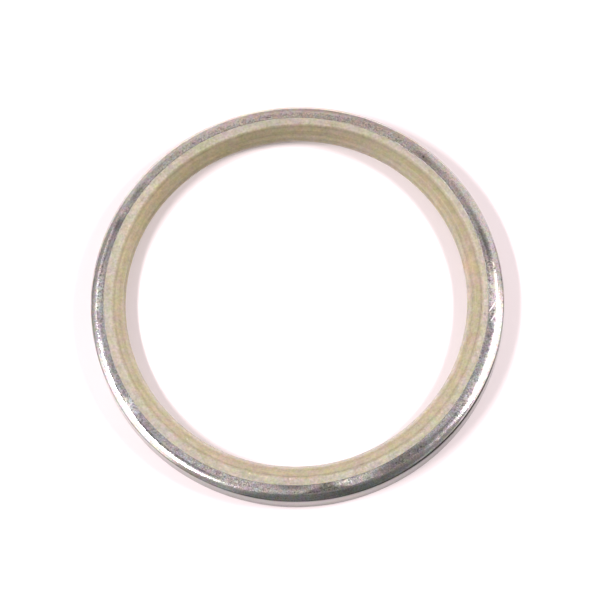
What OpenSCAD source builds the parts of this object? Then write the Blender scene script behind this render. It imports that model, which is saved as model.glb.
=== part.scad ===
// Dust seal for a plain pin: a pressed steel case with a moulded polyurethane
// wiping lip bonded inside it. The seal is pressed into a counterbore beside the
// bushing, flange face outwards, and the lip wipes the pin.
//
// Millimetres, +Z up. The origin is on the ring's axis, in the plane of the open
// rim, which is the plane the seal rests on. The flange face is uppermost.
// Both pieces are bodies of revolution, so each is one drawn section turned once
// around the axis: x in a section is the radius, y is the height.

/* [Metal case] */
// Outside diameter, the size of the housing bore that the seal is pressed into
case_od = 95; // [85:0.5:110]
// Height from the rim to the flange face
case_h = 6; // [5.6:0.1:8]
// Thickness of the pressed sheet
sheet_t = 1.2; // [1:0.1:1.4]
// Inside radius of the bend between wall and flange
bend_ri = 0.8; // [0.6:0.1:1]
// Outside radius of the shoulder pressed into the bend
shoulder_r = 3; // [2.8:0.1:3.4]
// Radial width of the shoulder
shoulder_w = 2.2; // [2:0.05:2.3]
// Height of the straight outside of the wall, above the rim
wall_h = 4.9; // [4.5:0.1:5]
// Radial width of the flange, from the outside diameter to its sheared edge
flange_w = 3.3; // [2.9:0.1:3.6]
// Lead-in chamfer on the outside of the rim
rim_chamfer = 0.3; // [0.1:0.05:0.5]
// Break on the other cut edges of the sheet
edge_break = 0.1; // [0.05:0.05:0.2]

/* [Wiping lip] */
// Radial space between the housing bore and the pin
section_w = 7.5; // [7:0.1:9]
// How far the free lip stands inside the pin's surface
lip_squeeze = 0.7; // [0.4:0.1:1]
// Height of the land's lower edge above the rim
land_z = 3.1; // [2.8:0.1:3.4]
// Width of the land that touches the pin
land_w = 0.8; // [0.4:0.1:1]
// Share of the lip's reach taken by the flat band next to the flange
band_share = 0.3; // [0.25:0.01:0.35]
// Depth of the moulded band below the metal face
top_recess = 0.05; // [0:0.05:0.2]

/* [Moulded back] */
// How far the moulding stops short of the rim
back_recess = 0.5; // [0.3:0.1:0.9]
// Radial width of the solid back, measured in from the case wall
back_w = 2.7; // [2.3:0.1:3]
// Height of the root where the lip leaves the back
root_z = 1.9; // [1.7:0.1:2.1]

/* [Hidden] */
// Facets for a full circle
$fn = 180;
// Pieces of straight line in each rounded corner of the moulding's section
arc_steps = 6;

// Radii and heights that follow from the sizes above
case_r = case_od / 2;
wall_ri = case_r - sheet_t;
flange_ri = case_r - flange_w;
bend_x = wall_ri - bend_ri;
bend_y = case_h - sheet_t - bend_ri;
shoulder_x = case_r - shoulder_w;
shoulder_y = case_h - shoulder_r;
pin_r = case_r - section_w;
lip_r = pin_r - lip_squeeze;
reach = flange_ri - lip_r;
top_z = case_h - top_recess;
land_top = land_z + land_w;
fall = top_z - land_top;

// A section's corners, rounded: each corner is [x, y, radius], and the result is
// the plain list of points for polygon()
function unit(v) = v / norm(v);
function corner_arc(a, b, c, r) =
    let (
        u = unit([a[0] - b[0], a[1] - b[1]]),
        v = unit([c[0] - b[0], c[1] - b[1]]),
        half = acos(max(-1, min(1, u * v))) / 2,
        t = r / tan(half),
        m = unit(u + v),
        o = [b[0], b[1]] + m * (r / sin(half)),
        p = [b[0], b[1]] + u * t,
        q = [b[0], b[1]] + v * t,
        a0 = atan2(p[1] - o[1], p[0] - o[0]),
        a1 = atan2(q[1] - o[1], q[0] - o[0]),
        turn = a1 - a0 > 180 ? a1 - a0 - 360 : a1 - a0 < -180 ? a1 - a0 + 360 : a1 - a0
    )
    [for (i = [0 : arc_steps])
        i == 0 ? p
        : i == arc_steps ? q
        : o + r * [cos(a0 + turn * i / arc_steps), sin(a0 + turn * i / arc_steps)]];
function rounded(pts) =
    let (n = len(pts))
    [for (i = [0 : n - 1])
        each (pts[i][2] == 0
            ? [[pts[i][0], pts[i][1]]]
            : corner_arc(pts[(i + n - 1) % n], pts[i], pts[(i + 1) % n], pts[i][2]))];

// The case's section: a straight wall and a short flange of one sheet thickness.
// Outside their bend lies a broad, round shoulder, which ends in a broken edge
// where it meets the wall.
module case_section() {
    // wall, with the chamfered rim at the bottom
    polygon([
        [wall_ri, edge_break],
        [wall_ri + edge_break, 0],
        [case_r - rim_chamfer, 0],
        [case_r, rim_chamfer],
        [case_r, bend_y],
        [wall_ri, bend_y]
    ]);
    // bend and shoulder
    edge_x = case_r - edge_break;
    edge_y = shoulder_y + sqrt(pow(shoulder_r, 2) - pow(edge_x - shoulder_x, 2));
    difference() {
        intersection() {
            translate([shoulder_x, shoulder_y]) circle(r = shoulder_r);
            polygon([
                [shoulder_x, case_h - sheet_t],
                [bend_x, case_h - sheet_t],
                [bend_x, bend_y],
                [case_r, bend_y],
                [case_r, wall_h],
                [edge_x, edge_y],
                [edge_x - 0.2, case_h + 0.1],
                [shoulder_x, case_h + 0.1]
            ]);
        }
        translate([bend_x, bend_y]) circle(r = bend_ri);
    }
    // flange, with both edges of its sheared end broken
    polygon([
        [shoulder_x, case_h - sheet_t],
        [shoulder_x, case_h],
        [flange_ri + edge_break, case_h],
        [flange_ri, case_h - edge_break],
        [flange_ri, case_h - sheet_t + edge_break],
        [flange_ri + edge_break, case_h - sheet_t]
    ]);
}

// The moulding's outline, drawn half a sheet thickness into the case. The case is
// then taken away from it, so the two meet face to face.
module moulding_outline() {
    mid_flange = case_h - sheet_t / 2;
    mid_wall = case_r - sheet_t / 2;
    mid_bend = (bend_ri + sheet_t / 2) * cos(45);
    back_ri = wall_ri - back_w;
    polygon(rounded([
        // flat band beside the flange
        [flange_ri, top_z, 0],
        [flange_ri - band_share * reach, top_z, 0.6],
        // step down to the low rib
        [lip_r + 0.567 * reach, land_top + 0.78 * fall, 0.25],
        [lip_r + 0.378 * reach, land_top + 0.698 * fall, 0.5],
        // crease under the rib, and the nearly level edge of the lip
        [lip_r + 0.235 * reach, land_top + 0.434 * fall, 0.2],
        [lip_r + 0.098 * reach, land_top + 0.337 * fall, 0.25],
        // land that touches the pin
        [lip_r, land_top, 0],
        [lip_r, land_z, 0],
        // underside of the lip, relieved so that it can bend
        [lip_r + 0.3, land_z - 0.15, 0.1],
        [back_ri, root_z, 0.45],
        // solid back
        [back_ri, back_recess, 0.3],
        [wall_ri - 0.3, back_recess, 0],
        [wall_ri, back_recess + 0.3, 0],
        [mid_wall, back_recess + 0.3, 0],
        // along the middle of the sheet, round the bend to the flange's edge
        [mid_wall, bend_y, 0],
        [bend_x + mid_bend, bend_y + mid_bend, 0],
        [bend_x, mid_flange, 0],
        [flange_ri, mid_flange, 0]
    ]));
}

module lip_section() {
    difference() {
        moulding_outline();
        case_section();
    }
}

// Pressed steel case, one piece
module metal_case() {
    color([0.68, 0.68, 0.70]) rotate_extrude() case_section();
}

// Moulded polyurethane lip ring, one piece bonded into the case
module lip_ring() {
    color([0.80, 0.74, 0.60]) rotate_extrude() lip_section();
}

metal_case();
lip_ring();
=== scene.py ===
import math

import bpy
import numpy as np
from mathutils import Matrix, Vector


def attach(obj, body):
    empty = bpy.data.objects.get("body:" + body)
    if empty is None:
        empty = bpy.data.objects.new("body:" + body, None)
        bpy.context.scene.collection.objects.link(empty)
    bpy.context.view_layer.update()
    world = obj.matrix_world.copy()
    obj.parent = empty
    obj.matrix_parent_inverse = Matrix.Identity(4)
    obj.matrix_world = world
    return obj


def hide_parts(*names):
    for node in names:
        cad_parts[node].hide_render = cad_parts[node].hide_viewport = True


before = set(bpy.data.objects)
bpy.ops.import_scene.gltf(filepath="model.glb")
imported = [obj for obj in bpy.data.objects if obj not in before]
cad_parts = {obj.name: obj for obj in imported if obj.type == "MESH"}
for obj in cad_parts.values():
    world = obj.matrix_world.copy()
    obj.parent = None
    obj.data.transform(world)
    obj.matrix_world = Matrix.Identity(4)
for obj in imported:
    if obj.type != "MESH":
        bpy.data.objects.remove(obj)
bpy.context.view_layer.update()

# The dust seal's looks: a pressed steel case and the polyurethane lip moulded in it.
# Everything is in metres in the CAD frame. Sections are drawn in millimetres, as
# [radius, height], and turned once around the axis.
MM = 0.001
TILT = math.radians(17.51)  # how far the camera stands from straight above
ROLL = math.radians(6.59)  # how far it is turned about its own line of sight
DIST = 0.700


def seen(deg):
    """The angle about the seal's axis of what the picture shows at this angle."""
    a = math.radians(deg) - ROLL
    return math.atan2(math.sin(a) / math.cos(TILT), math.cos(a))


# ---------------------------------------------------------------- shader helpers

class Value:
    """A shader value that can be added, multiplied and compared."""

    def __init__(self, graph, socket):
        self.graph, self.socket = graph, socket

    def __add__(self, o):
        return self.graph.math("ADD", self, o)

    def __radd__(self, o):
        return self.graph.math("ADD", o, self)

    def __sub__(self, o):
        return self.graph.math("SUBTRACT", self, o)

    def __rsub__(self, o):
        return self.graph.math("SUBTRACT", o, self)

    def __mul__(self, o):
        return self.graph.math("MULTIPLY", self, o)

    def __rmul__(self, o):
        return self.graph.math("MULTIPLY", o, self)

    def __truediv__(self, o):
        return self.graph.math("DIVIDE", self, o)

    def clamped(self):
        return self.graph.math("ADD", self, 0.0, clamp=True)


class Graph:
    """A node tree, built by expressions."""

    def __init__(self, tree):
        self.tree = tree
        tree.nodes.clear()

    def node(self, kind, inputs=None, **props):
        n = self.tree.nodes.new(kind)
        for k, v in props.items():
            setattr(n, k, v)
        for k, v in (inputs or {}).items():
            self.feed(n.inputs[k], v)
        return n

    def feed(self, socket, v):
        if isinstance(v, Value):
            self.tree.links.new(v.socket, socket)
        else:
            socket.default_value = v

    def math(self, op, a, b=None, clamp=False):
        n = self.node("ShaderNodeMath", operation=op, use_clamp=clamp)
        self.feed(n.inputs[0], a)
        if b is not None:
            self.feed(n.inputs[1], b)
        return Value(self, n.outputs[0])

    def vec(self, x, y, z):
        n = self.node("ShaderNodeCombineXYZ", {0: x, 1: y, 2: z})
        return Value(self, n.outputs[0])

    def scaled(self, v, k):
        n = self.node("ShaderNodeVectorMath", operation="SCALE")
        self.feed(n.inputs[0], v)
        self.feed(n.inputs["Scale"], k)
        return Value(self, n.outputs[0])

    def shifted(self, v, by):
        n = self.node("ShaderNodeVectorMath", {0: v, 1: by}, operation="ADD")
        return Value(self, n.outputs[0])

    def parts(self, v):
        n = self.node("ShaderNodeSeparateXYZ", {0: v})
        return [Value(self, o) for o in n.outputs]

    def step(self, v, lo, hi, a=0.0, b=1.0, smooth=True):
        """a below lo, b above hi, and even between them."""
        n = self.node("ShaderNodeMapRange", interpolation_type="SMOOTHSTEP" if smooth else "LINEAR", clamp=True)
        self.feed(n.inputs["Value"], v)
        self.feed(n.inputs["From Min"], lo)
        self.feed(n.inputs["From Max"], hi)
        self.feed(n.inputs["To Min"], a)
        self.feed(n.inputs["To Max"], b)
        return Value(self, n.outputs["Result"])

    def noise(self, v, scale, detail=3.0, rough=0.55, distort=0.0):
        """Noise spread to about -1 to 1."""
        n = self.node("ShaderNodeTexNoise", {"Vector": v, "Scale": scale, "Detail": detail, "Roughness": rough, "Distortion": distort})
        return (Value(self, n.outputs["Fac"]) - 0.5) * 3.6

    def specks(self, v, scale, size, share):
        """Small round specks at random places in a share of the cells."""
        n = self.node("ShaderNodeTexVoronoi", {"Vector": v, "Scale": scale})
        pick = self.parts(Value(self, n.outputs["Color"]))[0]
        return self.step(Value(self, n.outputs["Distance"]), size, size * 0.6) * self.step(pick, share, share * 0.98)

    def hump(self, v, at, width):
        """1 at one value, falling off over a width."""
        q = (v - at) * (1.0 / width)
        return self.math("EXPONENT", q * q * -1.0)

    def spot(self, p, at, radius, soft=0.5):
        """A round spot, from a picture point."""
        n = self.node("ShaderNodeVectorMath", {0: p, 1: at}, operation="DISTANCE")
        return self.step(Value(self, n.outputs["Value"]), radius * (1 + soft), radius * (1 - soft))

    def stroke(self, p, a, b, width):
        """A thin straight stroke between two places, fading at its ends."""
        a, b = Vector(a), Vector(b)
        line = (b - a).normalized()
        side = Vector((-line.y, line.x, 0.0))
        q = self.shifted(p, tuple(-(a + b) / 2))
        along = self.node("ShaderNodeVectorMath", {0: q, 1: tuple(line)}, operation="DOT_PRODUCT")
        off = self.node("ShaderNodeVectorMath", {0: q, 1: tuple(side)}, operation="DOT_PRODUCT")
        half = (b - a).length / 2
        t = self.math("ABSOLUTE", Value(self, along.outputs["Value"]))
        w = self.math("ABSOLUTE", Value(self, off.outputs["Value"]))
        return self.step(t, half, half * 0.6) * self.step(w, width, width * 0.3)

    def mix(self, f, a, b, kind="MIX"):
        n = self.node("ShaderNodeMix", data_type="RGBA", blend_type=kind, clamp_factor=True)
        self.feed(n.inputs[0], f)
        for i, c in ((6, a), (7, b)):
            self.feed(n.inputs[i], c if isinstance(c, Value) else (*c, 1.0))
        return Value(self, n.outputs[2])

    def attribute(self, name, out="Fac"):
        n = self.node("ShaderNodeAttribute", attribute_name=name)
        return Value(self, n.outputs[out])

    def tinted(self, v, light, dark, a, b):
        """A colour between two, times a value: light and dark are the colours at a and b."""
        return self.mix(self.step(v, a, b, smooth=False), light, dark)

    def times(self, colour, v):
        """A colour times a plain value."""
        n = self.node("ShaderNodeVectorMath", operation="SCALE")
        self.feed(n.inputs[0], colour)
        self.feed(n.inputs["Scale"], v)
        return Value(self, n.outputs[0])

    def both(self, a, b):
        """Two colours multiplied."""
        n = self.node("ShaderNodeVectorMath", {0: a, 1: b}, operation="MULTIPLY")
        return Value(self, n.outputs[0])

    def ring(self):
        """The object's own coordinates, in millimetres: (whole vector, radius, cosine and sine of the angle, height)."""
        t = self.node("ShaderNodeTexCoord")
        p = self.scaled(Value(self, t.outputs["Object"]), 1000.0)
        x, y, z = self.parts(p)
        r = self.math("SQRT", x * x + y * y)
        return p, r, x / r, y / r, z

    def bump(self, height, strength, distance, normal=None):
        n = self.node("ShaderNodeBump", {"Height": height, "Strength": strength, "Distance": distance})
        if normal is not None:
            self.feed(n.inputs["Normal"], normal)
        return Value(self, n.outputs["Normal"])


def principled(name):
    m = bpy.data.materials.new(name)
    m.use_nodes = True
    g = Graph(m.node_tree)
    out = g.node("ShaderNodeOutputMaterial")
    bsdf = g.node("ShaderNodeBsdfPrincipled")
    m.node_tree.links.new(bsdf.outputs[0], out.inputs[0])
    return m, g, bsdf


# ---------------------------------------------------------------- mesh helpers

def rounded(corners, turn=9.0):
    """A closed outline of [radius, height, corner radius] as points, with a support point on each side of a rounded corner."""
    out = []
    n = len(corners)
    for i in range(n):
        a, b, c = (np.array(corners[(i + k) % n][:2], float) for k in (-1, 0, 1))
        r = corners[i][2]
        u, v = (a - b) / np.linalg.norm(a - b), (c - b) / np.linalg.norm(c - b)
        half = math.acos(max(-1.0, min(1.0, float(u @ v)))) / 2
        if r <= 0:
            out.append(b)
            continue
        t = r / math.tan(half)
        m = (u + v) / np.linalg.norm(u + v)
        o = b + m * r / math.sin(half)
        p, q = b + u * t, b + v * t
        a0 = math.atan2(*(p - o)[::-1])
        a1 = math.atan2(*(q - o)[::-1])
        d = (a1 - a0 + math.pi) % (2 * math.pi) - math.pi
        k = max(3, int(math.ceil(abs(math.degrees(d)) / turn)))
        edge = 0.03
        if np.linalg.norm(a - p) > 3 * edge:
            out.append(p + u * edge)
        for j in range(k + 1):
            w = a0 + d * j / k
            out.append(o + r * np.array([math.cos(w), math.sin(w)]))
        if np.linalg.norm(c - q) > 3 * edge:
            out.append(q + v * edge)
    return np.array(out)


def filled(points, spacing):
    """The same outline with long edges divided. spacing gives the longest step at a point."""
    out = []
    n = len(points)
    for i in range(n):
        a, b = points[i], points[(i + 1) % n]
        out.append(a)
        length = np.linalg.norm(b - a)
        k = int(math.ceil(length / spacing((a + b) / 2) - 0.2))
        for j in range(1, k):
            out.append(a + (b - a) * j / k)
    return np.array(out)


def lathe(name, outline, turns, warp, attributes):
    """One closed ring: the outline at each of the turns, bent by warp(r, z, angle), with point attributes from attributes(r, z, angle) at their undisturbed place."""
    m = len(outline)
    ang = np.repeat(np.arange(turns) * 2 * math.pi / turns, m)
    r = np.tile(outline[:, 0], turns)
    z = np.tile(outline[:, 1], turns)
    rr, zz = warp(r, z, ang)
    co = np.stack([rr * np.cos(ang), rr * np.sin(ang), zz], 1) * MM
    j = np.arange(turns)[:, None]
    i = np.arange(m)[None, :]
    a = j * m + i
    b = j * m + (i + 1) % m
    c = ((j + 1) % turns) * m + (i + 1) % m
    d = ((j + 1) % turns) * m + i
    area = float(np.sum(outline[:, 0] * np.roll(outline[:, 1], -1) - np.roll(outline[:, 0], -1) * outline[:, 1]))
    quads = np.stack([a, b, c, d] if area < 0 else [a, d, c, b], -1).reshape(-1, 4)
    mesh = bpy.data.meshes.new(name)
    mesh.vertices.add(len(co))
    mesh.vertices.foreach_set("co", co.astype(np.float32).ravel())
    mesh.loops.add(quads.size)
    mesh.loops.foreach_set("vertex_index", quads.astype(np.int32).ravel())
    mesh.polygons.add(len(quads))
    mesh.polygons.foreach_set("loop_start", np.arange(0, quads.size, 4, dtype=np.int32))
    mesh.polygons.foreach_set("use_smooth", np.ones(len(quads), bool))
    mesh.update(calc_edges=True)
    mesh.validate()
    for key, value in attributes(r, z, ang).items():
        if value.ndim == 1:
            at = mesh.attributes.new(key, "FLOAT", "POINT")
            at.data.foreach_set("value", value.astype(np.float32))
        else:
            at = mesh.attributes.new(key, "FLOAT_COLOR", "POINT")
            rgba = np.concatenate([value, np.ones((len(value), 1))], 1)
            at.data.foreach_set("color", rgba.astype(np.float32).ravel())
    obj = bpy.data.objects.new(name, mesh)
    bpy.context.scene.collection.objects.link(obj)
    return obj


def smooth(x, lo, hi):
    t = np.clip((x - lo) / (hi - lo), 0, 1)
    return t * t * (3 - 2 * t)


def near(ang, at, width):
    """1 at one angle about the axis, falling off over a width in radians."""
    d = (ang - at + math.pi) % (2 * math.pi) - math.pi
    return np.exp(-((d / width) ** 2))


def around(ang, waves, seed):
    """A slow random wave around the ring, about -1 to 1, without a seam."""
    rng = np.random.default_rng(seed)
    out = np.zeros_like(ang)
    total = 0.0
    for k in waves:
        a = rng.uniform(0.5, 1.0)
        out += a * np.cos(k * ang + rng.uniform(0, 2 * math.pi))
        total += a * a / 2
    return out / math.sqrt(2 * total) * 0.9


# ---------------------------------------------------------------- camera

scene = bpy.context.scene
s, c = math.sin(TILT), math.cos(TILT)
right, up, back = Vector((1, 0, 0)), Vector((0, c, s)), Vector((0, -s, c))
cam_right = right * math.cos(ROLL) - up * math.sin(ROLL)
cam_up = right * math.sin(ROLL) + up * math.cos(ROLL)
pixel = MM / 4.326
aim = cam_right * 2.25 * pixel + cam_up * 7.0 * pixel
camera = bpy.data.objects.new("camera", bpy.data.cameras.new("camera"))
camera.matrix_world = Matrix.Translation(aim + back * DIST) @ Matrix((cam_right, cam_up, back)).transposed().to_4x4()
camera.data.sensor_width = 36.0
camera.data.lens = 3028.2 * 36.0 / 600.0
camera.data.clip_start, camera.data.clip_end = 0.05, 20.0
scene.collection.objects.link(camera)
scene.camera = camera



def spot(px, py, z=6.0):
    """The place, in millimetres, at height z of what the picture shows at this pixel."""
    ray = cam_right * (px - 300) / 3028.2 + cam_up * (300 - py) / 3028.2 - back
    eye = aim + back * DIST
    hit = eye + ray * ((z * MM - eye.z) / ray.z)
    return hit.x / MM, hit.y / MM, z


def lobes(ang, *items):
    """The sum of soft humps around the ring, each (picture angle, half width, amount)."""
    out = np.zeros_like(ang)
    for at, width, amount in items:
        out += amount * near(ang, seen(at), math.radians(width))
    return out


# ---------------------------------------------------------------- floor

bpy.ops.mesh.primitive_circle_add(vertices=128, radius=6.0, fill_type="NGON", location=(0, 0, -0.00001))
floor = bpy.context.object
floor.name = "floor"
m, g, bsdf = principled("floor_white")
p = Value(g, g.node("ShaderNodeTexCoord").outputs["Object"])
shade = g.step(g.noise(p, 3.0, 2.0), -1.0, 1.0, 0.985, 1.0)
g.feed(bsdf.inputs["Base Color"], g.mix(shade, (0.0, 0.0, 0.0), (0.86, 0.856, 0.858)))
bsdf.inputs["Roughness"].default_value = 0.55
bsdf.inputs["Specular IOR Level"].default_value = 0.35
floor.data.materials.append(m)

# ---------------------------------------------------------------- light

WARM = (1.0, 0.862, 0.882)


def strip(name, place, long_side, short_side, radiance, colour=WARM):
    """A rectangular lamp facing the seal, its long side level."""
    data = bpy.data.lights.new(name, "AREA")
    data.shape = "RECTANGLE"
    data.size, data.size_y = long_side, short_side
    data.energy = radiance * math.pi * long_side * short_side
    data.color = colour
    o = bpy.data.objects.new(name, data)
    z = Vector(place).normalized()
    x = Vector((0, 0, 1)).cross(z).normalized()
    o.matrix_world = Matrix.Translation(Vector(place)) @ Matrix((x, z.cross(x), z)).transposed().to_4x4()
    scene.collection.objects.link(o)
    return o


strip("key_left", (-0.366, -0.054, 0.478), 0.34, 0.07, 48.0)
strip("key_right", (0.405, -0.021, 0.444), 0.22, 0.08, 46.0)

world = bpy.data.worlds.new("studio")
scene.world = world
world.use_nodes = True
g = Graph(world.node_tree)
d = Value(g, g.node("ShaderNodeTexCoord").outputs["Generated"])
x, y, z = g.parts(d)


def sector(at, lo, hi, soft):
    """1 between two azimuths, given from a third in degrees, as numbers or as Values in radians."""
    a = math.radians(at)
    off = g.math("ARCTAN2", y * math.cos(a) - x * math.sin(a), x * math.cos(a) + y * math.sin(a))
    lo, hi = (math.radians(k) if isinstance(k, (int, float)) else k for k in (lo, hi))
    w = math.radians(soft)
    return g.step(off - lo, -w, w) * g.step(hi - off, -w, w)


def below(hi, soft):
    """1 below this elevation, 0 above it."""
    return g.step(z, math.sin(math.radians(hi + soft)), math.sin(math.radians(hi - soft)))


def lit(level, where, new):
    """A new level where the mask is 1."""
    return level * (1.0 - where) + new * where


far_wall = sector(88, -70, 44, 8) * below(52, 8)
far_patch = sector(114, -20, 15, 7) * below(50, 8)
gap = sector(138, -8, 8, 5) * below(60, 6)
left_front = sector(150, -4, 16, 5) * below(60, 6)
far_right = sector(40, -22, 19, 8) * below(48, 8)
front = sector(-80, -50, 38, 9) * below(76, 6)
left_box = sector(186, -17, 27, 7) * below(54, 5)
left_tail = sector(222, -8, 16, 8) * below(70, 6)
left_foot = sector(186, -40, 36, 6) * below(13, 3)
# the right-hand box leans: the higher, the farther round to the back
right_lo = (z - 0.53) * math.radians(90) + math.radians(-31)
right_hi = (z - 0.375) * math.radians(10) + math.radians(14)
right_box = sector(0, right_lo, right_hi, 4) * sector(0, -38, 40, 5) * below(60, 4)
right_glow = sector(-40, -12, 10, 6) * below(45, 8)
right_foot = g.math("MAXIMUM", sector(0, -70, -8, 6) * below(18, 3), sector(0, -14, 30, 4) * below(9, 2))
level = lit(0.30, far_wall, 0.51)
level = lit(level, far_patch, 0.69)
level = lit(level, gap, 0.41)
level = lit(level, left_front, 0.58)
level = lit(level, far_right, 0.76)
level = lit(level, front, 0.150)
level = lit(level, left_tail, 0.40)
level = lit(level, left_box, 1.5)
level = lit(level, left_foot, 0.36)
level = lit(level, right_glow, 0.50)
level = lit(level, right_box, 1.5)
level = lit(level, right_foot, 0.22)
# the sides of the tent end a little above the table
level = level * g.step(z, math.sin(math.radians(-1)), math.sin(math.radians(5)), 0.35, 1.0)
tint = g.mix(front, WARM, (1.0, 0.97, 0.97))
bg = g.node("ShaderNodeBackground")
g.feed(bg.inputs["Color"], tint)
g.feed(bg.inputs["Strength"], level)
pale = g.node("ShaderNodeBackground", {"Color": (1.0, 0.99, 0.99, 1.0), "Strength": 1.0})
which = g.node("ShaderNodeLightPath")
both = g.node("ShaderNodeMixShader")
world.node_tree.links.new(which.outputs["Is Camera Ray"], both.inputs[0])
world.node_tree.links.new(bg.outputs[0], both.inputs[1])
world.node_tree.links.new(pale.outputs[0], both.inputs[2])
world.node_tree.links.new(both.outputs[0], g.node("ShaderNodeOutputWorld").inputs[0])

scene.view_settings.view_transform = "Standard"
scene.view_settings.look = "None"

# ---------------------------------------------------------------- metal case

# A broad round shoulder runs from the flat flange down to a tight edge above the wall
SHOULDER = (45.3, 3.0, 3.0)
EDGE_R = 0.4


def case_outline():
    cx, cz, cr = SHOULDER
    ex = 47.5 - EDGE_R
    ez = cz + math.sqrt((cr - EDGE_R) ** 2 - (ex - cx) ** 2)
    turn = math.atan2(ez - cz, ex - cx)
    edge = [(ex + EDGE_R * math.cos(turn * j / 7), ez + EDGE_R * math.sin(turn * j / 7)) for j in range(8)]
    arc = [(cx + cr * math.cos(a), cz + cr * math.sin(a)) for a in np.linspace(turn, math.pi / 2, 14)[1:]]
    rest = rounded([[46.3, 3.0, 0], [46.3, 0.0, 0.10], [47.5, 0.0, 0.28], [47.5, 4.6, 0]], 12.0)
    inner = rounded([[45.3, 6.0, 0], [44.2, 6.0, 0.11], [44.2, 4.8, 0.10], [46.3, 4.8, 0.80], [46.3, 3.0, 0]], 15.0)
    return np.array([*map(tuple, rest), *edge, *arc, *map(tuple, inner[1:-1])])


def case_step(p):
    if p[1] > 5.95:
        return 0.14
    if p[0] > 45.4 and p[1] > 4.4:
        return 0.2
    return 0.5


def off_centre(r, z, ang):
    """The flange's sheared edge, and the moulding inside it, lie a little off the wall's centre."""
    share = np.clip((47.1 - r) / 2.9, 0, 1) * smooth(z, 1.6, 2.7) * np.where(r > 45.9, smooth(z, 4.0, 4.8), 1.0)
    return share * 0.434 * np.cos(ang - math.radians(121.5))


def case_warp(r, z, ang):
    wave = around(ang, (2, 3, 5, 7, 11), 11)
    top = smooth(z, 5.2, 5.9)
    sag = smooth(r, 45.4, 44.2) * (0.022 + 0.012 * wave) + smooth(r, 46.4, 45.2) * 0.006 * (1 + wave)
    zz = z - top * sag
    edge = smooth(z, 4.6, 5.4) * smooth(r, 44.5, 44.22)
    rr = r + edge * 0.02 * (1 + around(ang, (9, 13, 17, 23, 31), 12))
    return rr + off_centre(r, z, ang), zz


def blob(ang, x, at, place, wide, deep):
    """A soft patch centred on a picture angle and a place across the ring."""
    return near(ang, seen(at), math.radians(wide)) * np.exp(-(((x - place) / deep) ** 2))


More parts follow.
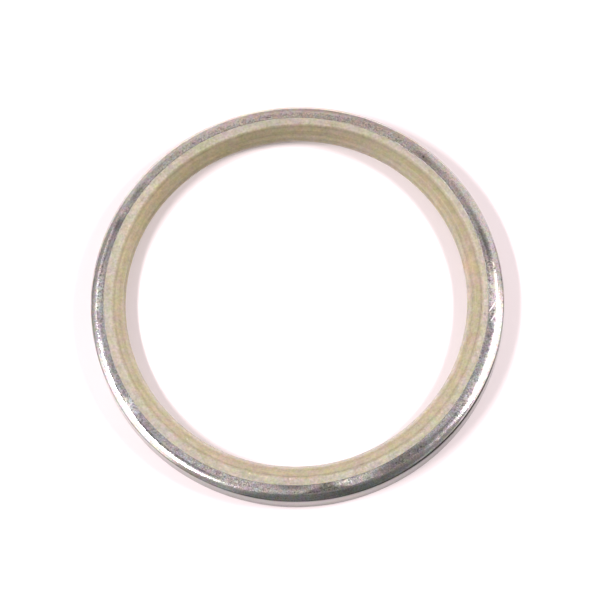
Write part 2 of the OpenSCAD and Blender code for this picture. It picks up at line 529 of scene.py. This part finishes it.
def case_marks(r, z, ang):
    top = smooth(z, 4.4, 5.0)
    x = r - 44.2  # 0 at the flange's sheared edge, about 2 where the burnished shoulder starts
    # scuffed places on the flat, which scatter more light, together with painted highlights
    light = (0.74 * blob(ang, x, 3, 1.4, 8, 1.3) + 0.35 * blob(ang, x, 346, 1.7, 8, 0.6)
             + 0.24 * blob(ang, x, 108, 1.9, 26, 0.6) + 0.38 * blob(ang, x, 179, 1.4, 8, 0.7)
             + 0.50 * blob(ang, x, 212, 1.0, 3, 1.6) + 0.22 * blob(ang, x, 286, 0.6, 4, 0.5)
             + 0.10 * blob(ang, x, 250, 1.0, 14, 1.0) + 0.42 * blob(ang, x, 332, 1.4, 9, 0.6))
    # darker, smoother places: stains, together with painted dark reflections
    dark = (0.25 * blob(ang, x, 26, 1.2, 15, 0.7) + 0.20 * blob(ang, x, 17, 1.2, 4, 0.5) + 0.40 * blob(ang, x, 48, 0.9, 5, 0.8)
            + 0.40 * blob(ang, x, 147, 1.0, 4, 0.8) + 0.45 * blob(ang, x, 157, 1.0, 2.5, 1.4) + 0.30 * blob(ang, x, 164, 0.8, 8, 0.9)
            + 0.25 * blob(ang, x, 135, 1.2, 10, 0.8) + 0.15 * blob(ang, x, 75, 0.4, 12, 0.5)
            + 0.25 * blob(ang, x, 222, 1.3, 6, 0.8) + 0.35 * blob(ang, x, 241, 1.6, 8, 0.4)
            + 0.80 * blob(ang, x, 303, 1.2, 9, 1.6) + 0.28 * blob(ang, x, 316, 1.4, 9, 0.9)
            + 0.55 * blob(ang, x, 269, 0.3, 8, 0.9) + 0.2 * blob(ang, x, 345, 0.7, 6, 0.5))
    # a painted dark reflection that runs in from the shoulder as a wedge
    off = np.degrees((ang - seen(279.5) + math.pi) % (2 * math.pi) - math.pi)
    left = 0.6 + 7.5 * np.clip(x / 1.8, 0, 1) ** 1.8
    right = 0.6 + 6.5 * np.clip((x - 0.6) / 1.2, 0, 1) ** 1.8
    wedge = smooth(off, -left - 5.0, -left + 3.0) * smooth(off, right + 4.5, right - 2.5)
    # where the burnished shoulder starts
    limit = 46.20 + lobes(ang, (222, 34, 0.45), (192, 14, 0.38), (287, 26, -0.36), (40, 36, -0.16), (330, 14, 0.26), (108, 24, -0.26), (158, 8, -0.15))
    # painted light and shade on the flat next to the shoulder: darker at some angles, brighter at others
    flat_painted_light = 0.82 + lobes(ang, (92, 34, 0.36), (184, 24, 0.72), (226, 20, 0.62), (333, 22, 0.68), (8, 12, 0.26), (101, 26, 0.42)) - lobes(ang, (262, 14, 0.25))
    # how gradually the flat gives way to the shoulder
    blend = 0.05 + lobes(ang, (312, 24, 0.30), (255, 10, 0.22), (150, 14, 0.10), (175, 12, 0.22), (36, 22, 0.10), (106, 24, 0.30))
    # where the flat is smoother next to the shoulder
    sleek = np.clip(lobes(ang, (205, 36, 1.5), (14, 9, 0.7), (328, 12, 0.6)), 0, 1)
    # how bright the shoulder is, with painted highlight and shade at some angles
    shoulder_painted_light = 0.84 - lobes(ang, (92, 26, -0.02), (285, 9, 0.20), (240, 9, 0.14), (324, 13, 0.24), (176, 9, 0.14)) + lobes(ang, (148, 12, 0.10), (268, 8, 0.10))
    # painted shade and dark reflection on the tight edge: how dark it is, and how high it starts
    shade = 0.42 + lobes(ang, (202, 17, 0.36)) - lobes(ang, (285, 45, 0.24), (324, 20, 0.18))
    rim_top = 5.20 + lobes(ang, (322, 22, 0.17))
    # darker along the flange's sheared edge
    flange_edge_dark = 0.04 + lobes(ang, (30, 40, 0.34), (158, 32, 0.60))
    # where the metal looks browner, and where bluer
    brown = lobes(ang, (88, 48, 1.0))
    cool = np.clip(lobes(ang, (205, 38, 1.1), (332, 26, 0.9)), 0, 1)
    return {"light": light * top, "dark": dark * top, "wedge": wedge * top, "place": r, "limit": limit, "flat_painted_light": flat_painted_light,
            "sleek": sleek, "blend": blend, "shoulder_painted_light": shoulder_painted_light, "shade": shade, "rim_top": rim_top, "flange_edge_dark": flange_edge_dark, "brown": brown, "cool": cool}


outline = filled(case_outline(), case_step)
case = lathe("case_visual", outline, 720, case_warp, case_marks)
print("case outline", len(outline), "triangles", 2 * len(outline) * 720)

m, g, bsdf = principled("case_steel")
p, r, ca, sa, z = g.ring()
light, dark, wedge, place, limit = (g.attribute(k) for k in ("light", "dark", "wedge", "place", "limit"))
flat_painted_light, sleek, shoulder_painted_light, shade, blend = (g.attribute(k) for k in ("flat_painted_light", "sleek", "shoulder_painted_light", "shade", "blend"))
rim_top, flange_edge_dark, brown, cool = (g.attribute(k) for k in ("rim_top", "flange_edge_dark", "brown", "cool"))
u = place * 0.7 - z * 0.7  # runs across the surface, over the shoulder and down the wall
fine = g.noise(g.vec(ca * 15.0, sa * 15.0, u * 9.0), 1.0, 2.0, 0.6)
wide = g.noise(g.vec(ca * 7.0, sa * 7.0, u * 3.4), 1.0, 3.0, 0.6)
mottle = g.noise(p, 1.05, 3.0, 0.6)
grain = g.noise(g.shifted(p, (3.0, 5.0, 0.0)), 2.5, 2.0, 0.6)
speckle = g.noise(g.shifted(p, (-9.0, 14.0, 2.0)), 3.3, 1.0, 0.5)
patch = g.noise(g.shifted(p, (31.0, 7.0, 0.0)), 0.36, 3.0, 0.5)
hue = g.noise(g.shifted(p, (-13.0, 51.0, 4.0)), 0.42, 3.0, 0.55)
hue_fine = g.noise(g.shifted(p, (23.0, -8.0, 2.0)), 1.3, 2.0, 0.6)
cold = g.noise(g.shifted(p, (5.0, 28.0, -2.0)), 0.5, 3.0, 0.6)
cold_fine = g.noise(g.shifted(p, (-31.0, 12.0, 6.0)), 1.4, 2.0, 0.6)

ragged = g.noise(g.vec(ca * 30.0, sa * 30.0, z * 0.2), 1.0, 5.0, 0.7)
deep = place - limit + ragged * 0.14 + grain * 0.05
flat = g.step(deep + mottle * blend, blend, blend * -1.0)
wall = g.step(z + mottle * 0.05, 4.05, 3.85)
rim = g.step(z + wide * 0.05 - rim_top, 0.08, -0.08) * (1.0 - wall)

# stains together with painted dark reflections
stain_and_dark_reflection = g.step(dark + mottle * 0.24 + grain * 0.22, 0.05, 0.65)
# scuffs together with painted highlights
bright = g.step(light + mottle * 0.20 + grain * 0.18, 0.05, 0.65)
# painted dark reflection, shaped as a wedge
dark_reflection_wedge = g.step(wedge * (1.0 + mottle * 0.30) + ragged * 0.16 + mottle * 0.26 + grain * 0.16, 0.22, 0.92)
v_flat = 0.68 * (1.0 + mottle * 0.18 + grain * 0.42 + patch * 0.06 + speckle * 0.40)
v_flat = v_flat * (1.0 - 0.46 * stain_and_dark_reflection) * (1.0 + 0.42 * bright) * (1.0 - 0.50 * dark_reflection_wedge)
# painted light and shade on the flat next to the shoulder
v_flat = v_flat * (1.0 + (flat_painted_light - 1.0) * g.step(deep, -0.9, -0.1))
# the shoulder's brightness carries painted highlight and shade
v_round = shoulder_painted_light * (1.0 + wide * 0.14 + fine * 0.10 + grain * 0.18 + patch * 0.06 + mottle * 0.10 + speckle * 0.16)
# painted shade: the wall darkens towards the floor
v_wall = (0.29 + wide * 0.05 + grain * 0.06) * (1.0 - 0.25 * g.step(z + wide * 0.3, 2.4, 1.2))
value = v_round * (1.0 - flat) + v_flat * flat
# painted shade and dark reflection on the tight edge
value = value * (1.0 - rim) + shade * (1.0 + wide * 0.15) * rim
value = value * (1.0 - wall) + v_wall * wall
# darker along the flange's sheared edge
value = value * (1.0 - flange_edge_dark * g.hump(place, 44.20, 0.30))
# specks of dirt and two short bright scratches
dirt = g.spot(p, spot(423.5, 157.1, 5.9), 0.26)
for px, py, h, size in ((398.5, 137.1, 5.9, 0.17), (501.0, 279.8, 5.2, 0.24), (502.3, 302.2, 5.2, 0.24), (166.6, 194.0, 5.9, 0.20),
                        (206.0, 154.5, 5.9, 0.15), (461.5, 198.5, 5.9, 0.16), (349.0, 480.5, 5.9, 0.18)):
    dirt = g.math("MAXIMUM", dirt, g.spot(p, spot(px, py, h), size))
dirt = g.math("MAXIMUM", dirt, g.stroke(p, spot(264.8, 118.2, 5.9), spot(271.6, 117.2, 5.9), 0.20))
dirt = g.math("MAXIMUM", dirt, 0.55 * g.stroke(p, spot(490.3, 318.0, 5.9), spot(494.9, 309.0, 5.9), 0.36))
scratch = g.math("MAXIMUM", g.stroke(p, spot(488.9, 312.0, 5.9), spot(495.6, 302.0, 5.9), 0.19),
                 g.stroke(p, spot(490.6, 321.4, 5.9), spot(495.8, 314.0, 5.9), 0.17))
value = value * (1.0 - 0.72 * dirt) * (1.0 - scratch) + 0.95 * scratch
value = g.step(value, 0.07, 0.97, 0.07, 0.97, smooth=False)

tone = g.mix(g.step(hue + hue_fine * 0.9, -0.9, 0.9), (0.860, 1.0, 0.950), (1.0, 0.880, 0.955))
tone = g.both(tone, g.mix(g.step(cold + cold_fine * 0.9, -0.9, 0.9), (1.0, 1.0, 0.81), (0.96, 0.97, 1.05)))
tone = g.both(tone, g.mix(brown, (1.0, 1.0, 0.99), (1.0, 0.95, 0.87)))
tone = g.both(tone, g.mix(cool * flat, (1.0, 1.0, 1.0), (0.955, 1.005, 1.06)))
g.feed(bsdf.inputs["Base Color"], g.times(tone, value))
g.feed(bsdf.inputs["Metallic"], 1.0 - scratch)
gloss = 0.36 + mottle * 0.04 + grain * 0.04 - stain_and_dark_reflection * 0.06 + bright * 0.15 - dark_reflection_wedge * 0.07 + scratch * 0.15
gloss = gloss - 0.23 * sleek * g.step(deep, -1.20, -0.85)
g.feed(bsdf.inputs["Roughness"], g.math("MAXIMUM", gloss * flat + (0.12 + fine * 0.015 + wide * 0.015) * (1.0 - flat), 0.08))
bsdf.inputs["Anisotropic"].default_value = 0.3
tangent = g.node("ShaderNodeTangent", direction_type="RADIAL", axis="Z")
m.node_tree.links.new(tangent.outputs[0], bsdf.inputs["Tangent"])
g.feed(bsdf.inputs["Normal"], g.bump((grain * 0.5 + mottle * 0.5) * flat + fine * 0.4, 0.5, 0.000014))
case.data.materials.append(m)
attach(case, "root")
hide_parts("metal_case")

# ---------------------------------------------------------------- polyurethane lip

GAP = 0.005
LIP = [
    [44.2 - GAP, 5.95, 0.03],
    [42.75, 5.95, 0.60],
    [42.08, 5.50, 0.25],
    [41.15, 5.33, 0.50],
    [40.45, 4.79, 0.20],
    [39.78, 4.59, 0.25],
    [39.3, 3.9, 0.06],
    [39.3, 3.1, 0.05],
    [39.6, 2.95, 0.10],
    [43.6, 1.9, 0.45],
    [43.6, 0.5, 0.30],
    [46.0, 0.5, 0.06],
    [46.3 - GAP, 0.8, 0.06],
    [46.3 - GAP, 4.8 - GAP, 0.80],
    [44.3, 4.8 - GAP, 0.03],
    [44.2 - GAP, 4.9, 0.03],
]


def lip_step(p):
    if p[1] > 3.0 and p[0] < 44.25:
        return 0.15
    return 1.0


def crease_shift(ang):
    """How far the step beside the flat band wanders, in millimetres."""
    return (0.34 * np.cos(ang - math.radians(15)) + 0.05 * around(ang, (2, 3, 5, 8), 21)
            - lobes(ang, (105, 28, 0.42)))


def lip_warp(r, z, ang):
    share = smooth(r, 41.1, 42.0) * smooth(r, 44.0, 42.9) * smooth(z, 4.6, 5.3)
    rr = r + off_centre(r, z, ang) + share * crease_shift(ang)
    edge = smooth(r, 40.4, 39.4) * smooth(z, 2.7, 3.2)
    rr = rr + edge * 0.02 * (1 + around(ang, (3, 4, 6, 9, 14), 5))
    nick = smooth(r, 39.9, 39.35) * smooth(z, 3.2, 3.8)
    rr = rr + nick * (0.16 * near(ang, seen(51.0), 0.010) + 0.10 * near(ang, seen(42.0), 0.012))
    return rr, z


def lip_tones(r, z, ang):
    # painted shade: the side away from the camera is darker
    deep = lobes(ang, (103, 60, 1.0))
    near_side = lobes(ang, (292, 50, 1.0))
    # and painted light and shade: a little paler at some places, a little darker at others
    pale = lobes(ang, (150, 16, 0.08), (0, 16, 0.08)) * smooth(r, 42.2, 42.9) + lobes(ang, (218, 26, 0.08), (335, 32, 0.06)) * smooth(r, 42.9, 42.2)
    pale = pale - lobes(ang, (150, 34, 0.17)) * smooth(r, 40.7, 39.9) - lobes(ang, (26, 18, 0.06)) * smooth(r, 42.9, 42.2)
    # painted shade in the crease beside the band: how dark it is
    crease_shade = 0.14 - lobes(ang, (100, 26, 0.14))
    # where the tan is yellower
    yellow = lobes(ang, (152, 30, 1.0), (36, 16, 0.7)) + lobes(ang, (112, 26, 0.8)) * smooth(r, 40.7, 39.9)
    return {"place": r, "deep": deep, "near_side": near_side, "pale": pale, "crease_shade": crease_shade, "yellow": yellow}


outline = filled(rounded(LIP, 14.0), lip_step)
lip = lathe("lip_visual", outline, 600, lip_warp, lip_tones)
print("lip outline", len(outline), "triangles", 2 * len(outline) * 600)

m, g, bsdf = principled("lip_polyurethane")
p, r, ca, sa, z = g.ring()
place, deep, near_side, pale, crease_shade, yellow = (g.attribute(k) for k in ("place", "deep", "near_side", "pale", "crease_shade", "yellow"))
streak = g.noise(g.vec(ca * 9.0, sa * 9.0, place * 4.0), 1.0, 3.0, 0.6)
cloud = g.noise(p, 0.50, 3.0, 0.6)
grain = g.noise(p, 1.9, 2.0, 0.6)
hue = g.noise(g.shifted(p, (17.0, -5.0, 9.0)), 0.33, 3.0, 0.6)
hue_fine = g.noise(g.shifted(p, (-7.0, 3.0, 1.0)), 1.2, 2.0, 0.6)
warm = g.noise(g.shifted(p, (8.0, 19.0, -3.0)), 0.45, 3.0, 0.6)
warm_fine = g.noise(g.shifted(p, (11.0, -21.0, 5.0)), 1.3, 2.0, 0.6)
q = place + cloud * 0.05 + grain * 0.03

band = g.step(q, 42.20, 42.95)
edge = g.step(q, 40.30, 39.70)
value = 1.0 + cloud * (0.12 + 0.03 * band) + streak * 0.08 + grain * (0.18 + 0.08 * band)
# painted shade in the two creases across the lip
value = value * (1.0 - crease_shade * g.hump(q, 42.10, 0.26) - 0.05 * g.hump(q, 40.45, 0.18))
# painted light and shade: lighter and darker places, and the side away from the camera darker
value = value * (1.0 + pale) * (1.0 - deep * (0.42 + 0.04 * edge - 0.33 * band))
shift = g.step(hue + hue_fine * 0.7, -1.1, 1.1)
tan = g.mix(shift, (0.330, 0.362, 0.226), (0.388, 0.326, 0.262))
cream = g.mix(shift, (0.346, 0.396, 0.290), (0.408, 0.366, 0.338))
tone = g.mix(band, tan, cream)
# painted light: the lip's edge paler, more so on the near side
tone = g.mix(edge * (0.31 + 0.42 * near_side), tone, (0.463, 0.478, 0.460))
tone = g.both(tone, g.mix(g.step(warm + warm_fine * 0.7, -1.1, 1.1), (1.0, 1.0, 0.82), (1.0, 0.98, 1.10)))
# the painted far-side shade is also yellower
tone = g.both(tone, g.mix(deep * (1.0 - band * 0.8), (1.0, 1.0, 1.0), (1.02, 1.0, 0.91)))
tone = g.both(tone, g.mix(yellow * (1.0 - band), (1.0, 1.0, 1.0), (1.0, 0.99, 0.84)))
# dirt specks and pale flecks
dirt = g.spot(p, spot(254.3, 138.1, 5.4), 0.24)
for px, py, h, size, much in ((127.4, 258.0, 5.4, 0.24, 0.8), (369.4, 148.5, 5.5, 0.20, 0.5), (484.5, 313.6, 5.9, 0.26, 0.5), (316.0, 135.0, 5.3, 0.18, 0.5)):
    dirt = g.math("MAXIMUM", dirt, much * g.spot(p, spot(px, py, h), size))
dirt = g.math("MAXIMUM", dirt, 0.7 * g.stroke(p, spot(481.3, 302.0, 5.9), spot(481.6, 312.0, 5.9), 0.13))
fleck = g.spot(p, spot(477.4, 352.2, 5.9), 0.22)
for px, py, h, size in ((401.0, 175.4, 4.4, 0.30), (187.2, 438.9, 5.4, 0.22), (249.7, 473.3, 5.9, 0.20), (289.9, 479.1, 5.9, 0.20), (143.5, 381.0, 5.9, 0.18), (440.5, 214.5, 5.5, 0.16)):
    fleck = g.math("MAXIMUM", fleck, g.spot(p, spot(px, py, h), size))
tone = g.mix(0.16 * g.spot(p, spot(222.2, 458.4, 5.6), 1.6, 0.8), tone, (0.60, 0.34, 0.33))
tone = g.mix(0.30 * g.spot(p, spot(466.0, 264.0, 5.5), 1.8, 0.8), tone, (0.56, 0.36, 0.16))
tone = g.mix(0.35 * fleck, tone, (0.80, 0.78, 0.70))
value = value * (1.0 - 0.50 * dirt)
g.feed(bsdf.inputs["Base Color"], g.times(tone, value))
g.feed(bsdf.inputs["Roughness"], 0.42 + cloud * 0.04 + grain * 0.03)
bsdf.inputs["Specular IOR Level"].default_value = 0.45
bsdf.inputs["Subsurface Weight"].default_value = 0.6
bsdf.inputs["Subsurface Radius"].default_value = (1.0, 0.62, 0.30)
bsdf.inputs["Subsurface Scale"].default_value = 0.0018
g.feed(bsdf.inputs["Normal"], g.bump(streak * 0.6 + grain * 0.4, 0.4, 0.00002))
lip.data.materials.append(m)
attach(lip, "root")
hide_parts("lip_ring")

# ---------------------------------------------------------------- finish

bpy.context.view_layer.update()
